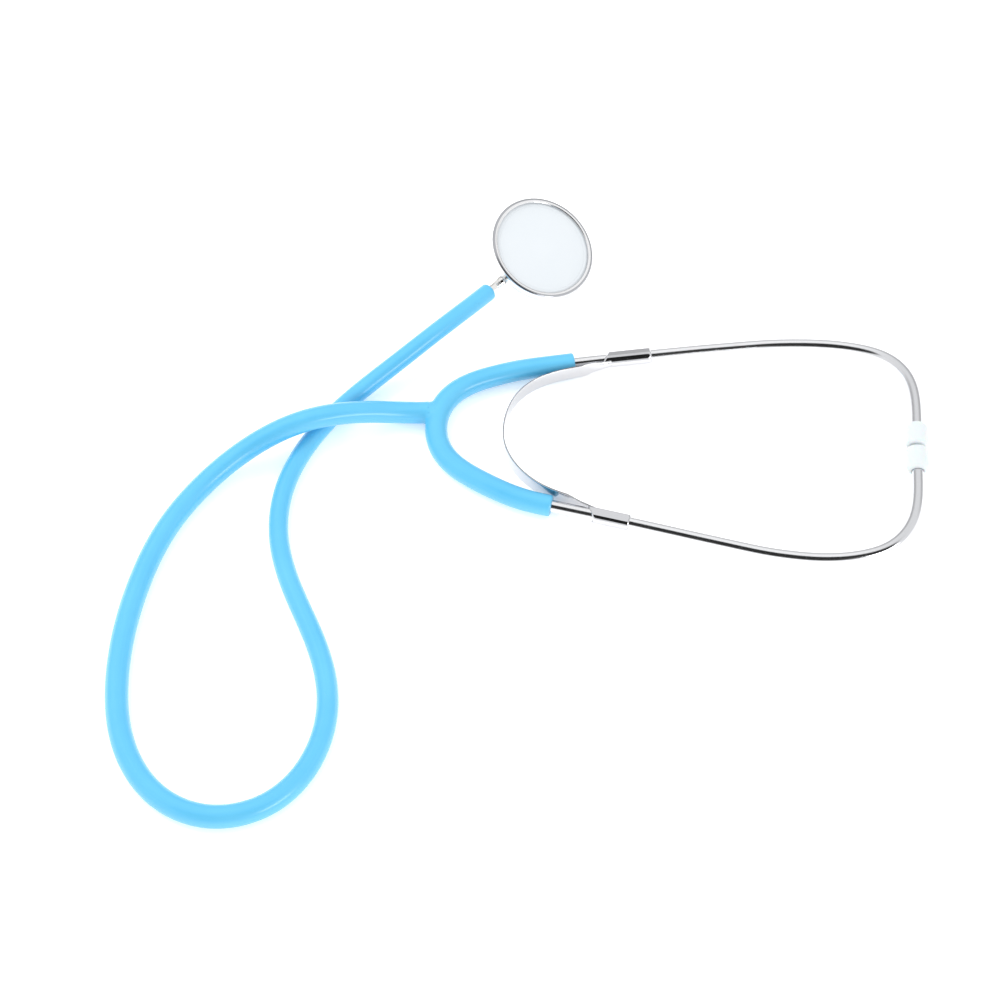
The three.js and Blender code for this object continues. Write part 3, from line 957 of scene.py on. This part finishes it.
# %% Film material
def film_plastic():
    """Pale resin with faint clouds in its colour and faint rings in its skin."""
    bench = Bench(bpy.data.materials.new("diaphragm_film"), Specular_IOR_Level=0.5,
                  Coat_Weight=0.2, Coat_Roughness=0.15)
    rings = bench.noise(bench.surface(30, 2600), 1)
    clouds = bench.noise(bench.place(), 60)
    bench.feed(
        Base_Color=bench.mix(clouds, (0.67, 0.715, 0.75), (0.70, 0.735, 0.765)),
        Roughness=0.30 + 0.1 * rings,
        Normal=bench.bump(rings, 0.08, 0.04 * MM),
    )
    return bench.owner


film = film_plastic()
print("finish", film.name)

# %% [markdown]
# Each piece is a profile of (radius, height) in millimetres. Heights are along the head's axis, from
# the level of the stem's axis. The body lies on its back, which has the plain dome and hub that are
# usual on such a head.

# %% Turned pieces of the head
FILM_PROFILE = [
    (0, 5.95), (21.4, 5.95), (21.6, 6.05), (21.6, 6.2), (21.2, 6.32), (19.9, 6.32), (19.6, 6.22),
    (19.3, 6.3), (0, 6.36),
]
BODY_PROFILE = [
    (0, 3.6), (12, 4.8), (20.4, 5.7), (20.55, 5.95), (21.9, 5.95), (21.9, 2.4), (21.6, 2.0),
    (20.6, 1.5), (18.5, 0.55), (15, -0.6), (12.2, -1.4), (11.8, -1.75), (9.8, -2.1), (9.5, -2.5),
    (8.2, -3.3), (6.6, -3.85), (5.2, -3.95), (4.9, -3.8), (0, -3.8),
]


def head_piece(name, profile, soften, material, node):
    """A turned piece of the head, which rides on the chest piece and replaces its CAD node."""
    piece = turned(name, rounded(profile, soften), head_centre, head_axis, material, 192)
    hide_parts(node)
    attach(piece, "chest_piece")


head_piece("film_disc", FILM_PROFILE, 0.1, film, "diaphragm")
head_piece("turned_head", BODY_PROFILE, 0.25, head_metal, "head_body")

# %% [markdown]
# The ring is a closed band, not a solid with poles, so its grid closes on itself: the last ring of
# corners is joined to the first.

# %% Retaining ring
RING_PROFILE = [
    (22.25, 2.8), (22.9, 2.8), (23.25, 3.1), (23.25, 3.9), (23.1, 4.05), (23.25, 4.2), (23.25, 6.5),
    (23.0, 7.15), (22.4, 7.4), (21.5, 7.4), (21.1, 7.25), (20.9, 6.95), (20.9, 6.6), (22.25, 6.6),
    (22.25, 2.8),
]
RING_RADIUS = 23 * MM  # for the UV map's distance round


def band(name, profile, origin, axis, material, around=192):
    """A closed profile of (radius, height) in metres spun about an axis as a ring."""
    grid = spun(profile, origin, axis, around)
    rings = len(grid)
    i, j = np.meshgrid(np.arange(rings), np.arange(around), indexing="ij")
    after, beside = (i + 1) % rings, (j + 1) % around
    quads = np.stack([i * around + j, i * around + beside, after * around + beside,
                      after * around + j], axis=-1).reshape(-1, 4)
    turn = np.linspace(0, 2 * np.pi * RING_RADIUS, around)
    uv = np.stack(np.broadcast_arrays(turn[None, :], along(profile)[:, None]), axis=-1)
    piece = mesh_piece(name, grid.reshape(-1, 3), quads.tolist(), material, uv.reshape(-1, 2))
    turn_outwards(piece)
    return piece


ring_outline = rounded(RING_PROFILE, 0.2)[1:-1] * MM
ring = band("turned_ring", ring_outline, head_centre, head_axis, ring_metal)
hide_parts("retaining_ring")
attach(ring, "ring")

# %% [markdown]
# ## Stem
# A short plated tube joins the head to the hose. It leaves the head's edge in a short cone, carries
# two fine collars and then runs on into the hose's bore. It is one more turned piece, about the axis
# that the chest piece turns on, with heights from the head's middle, below zero towards the hose.

# %% Stem
STEM_PROFILE = [
    (0, -42), (1.6, -42), (2.0, -41.6), (2.0, -27.2), (2.0, -26.8), (2.2, -26.7), (2.2, -26.2),
    (2.0, -26.1), (2.0, -25.7), (2.2, -25.6), (2.2, -25.1), (2.0, -25.0), (2.0, -24.6),
    (2.5, -23.4), (2.6, -22.4), (2.6, -12), (0, -12),
]
stem_piece = turned(
    "plated_stem", rounded(STEM_PROFILE, 0.15), head_centre, stem_axis, stem_metal, 64)
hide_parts("stem")
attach(stem_piece, "chest_piece")

# %% [markdown]
# ## Table
# The object lies on a bright white table, so its shadows almost vanish. A shadow catcher would need
# a picture put behind it, so this is a plain large plane that also glows a little by itself.

# %% Table
TABLE_REACH = 6.0
TABLE_WHITE = 0.96

floor_mesh = bpy.data.meshes.new("table_top")
floor_mesh.from_pydata([(x * TABLE_REACH, y * TABLE_REACH, 0)
                        for x, y in ((-1, -1), (1, -1), (1, 1), (-1, 1))], [], [(0, 1, 2, 3)])
table_bench = Bench(
    bpy.data.materials.new("table_white"), Base_Color=(TABLE_WHITE, TABLE_WHITE, TABLE_WHITE, 1),
    Roughness=0.9, Specular_IOR_Level=0.0, Emission_Color=(1, 1, 1, 1), Emission_Strength=0.30)
floor_mesh.materials.append(table_bench.owner)
table_top = bpy.data.objects.new("table_top", floor_mesh)
table_top.location.z = min(0.0, cad_box[0][2])
bpy.context.collection.objects.link(table_top)
print("table at height", round(table_top.location.z, 4))

# %% [markdown]
# ## Room
# All round is an even white light. Metal that mirrors only white looks like paper, so it needs
# something dark to show its shape, such as a dark card held up in front of it. A real card would
# also shade the table. Here a soft dark patch, high at the front, and a grey low sky at the back are
# in the world itself, and the Light Path node shows them to mirror images only.

# %% Room
ROOM_WHITE = 1.0
CARD_DIRECTION = (0.05, -0.62, 0.78)
CARD_EDGE = (0.77, 0.86)  # cosine of the angle from that direction, from the rim to full depth
CARD_DEPTH = 0.985
SKY_LEVELS = (0.76, 0.46)  # upward part of a direction, from clear to full grey
SKY_BACK = (0.1, 0.5)  # backward part of a direction, from clear to full grey
SKY_DEPTH = 0.38

world = bpy.data.worlds.new("white_room")
bpy.context.scene.world = world
room = Bench(world, "Background", Color=(1, 1, 1, 1))
towards = room.place("Generated")
facing = room.add("ShaderNodeVectorMath", {"operation": "DOT_PRODUCT"},
                  {0: towards, 1: CARD_DIRECTION}, "Value")
card = room.ramp(facing, *CARD_EDGE)
low = room.ramp(room.part(towards, "Z"), *SKY_LEVELS)
back = room.ramp(room.part(towards, "Y"), *SKY_BACK)
mirrored = room.add("ShaderNodeLightPath", {}, {}, "Is Glossy Ray")
dimming = mirrored * (1 - (1 - CARD_DEPTH * card) * (1 - SKY_DEPTH * (low * back)))
room.feed(Strength=ROOM_WHITE * (1 - dimming))
print("room", world.name, "with", len(room.tree.nodes), "nodes")

# %% [markdown]
# ## Lights
# Two softboxes give what shading there is. A low one at the front right draws the long soft streak
# on the hose. A large one overhead, towards the back left, fills in, and it is kept out of mirror
# images so that it leaves no white bar on the tubes. A point light or a sun would give hard bright
# dots.

# %% Lights
def soft_light(name, place, aim, size, watts, in_mirrors):
    """A softbox at a place, pointed at another; it may be kept out of mirror images."""
    data = bpy.data.lights.new(name, "AREA")
    data.shape = "RECTANGLE"
    data.size, data.size_y = size
    data.energy = watts
    lamp = bpy.data.objects.new(name, data)
    lamp.location = place
    lamp.rotation_euler = (Vector(aim) - Vector(place)).to_track_quat("-Z", "Y").to_euler()
    lamp.visible_glossy = in_mirrors
    bpy.context.collection.objects.link(lamp)
    print(f"{name}: {watts} W")


soft_light("front_strip", (1.1, -1.25, 0.72), (-0.1, -0.1, 0), (0.9, 0.35), 7, True)
soft_light("overhead", (-1.0, 0.6, 1.25), (-0.06, -0.03, 0), (1.2, 1.0), 12, False)
bpy.context.scene.view_settings.view_transform = "Standard"
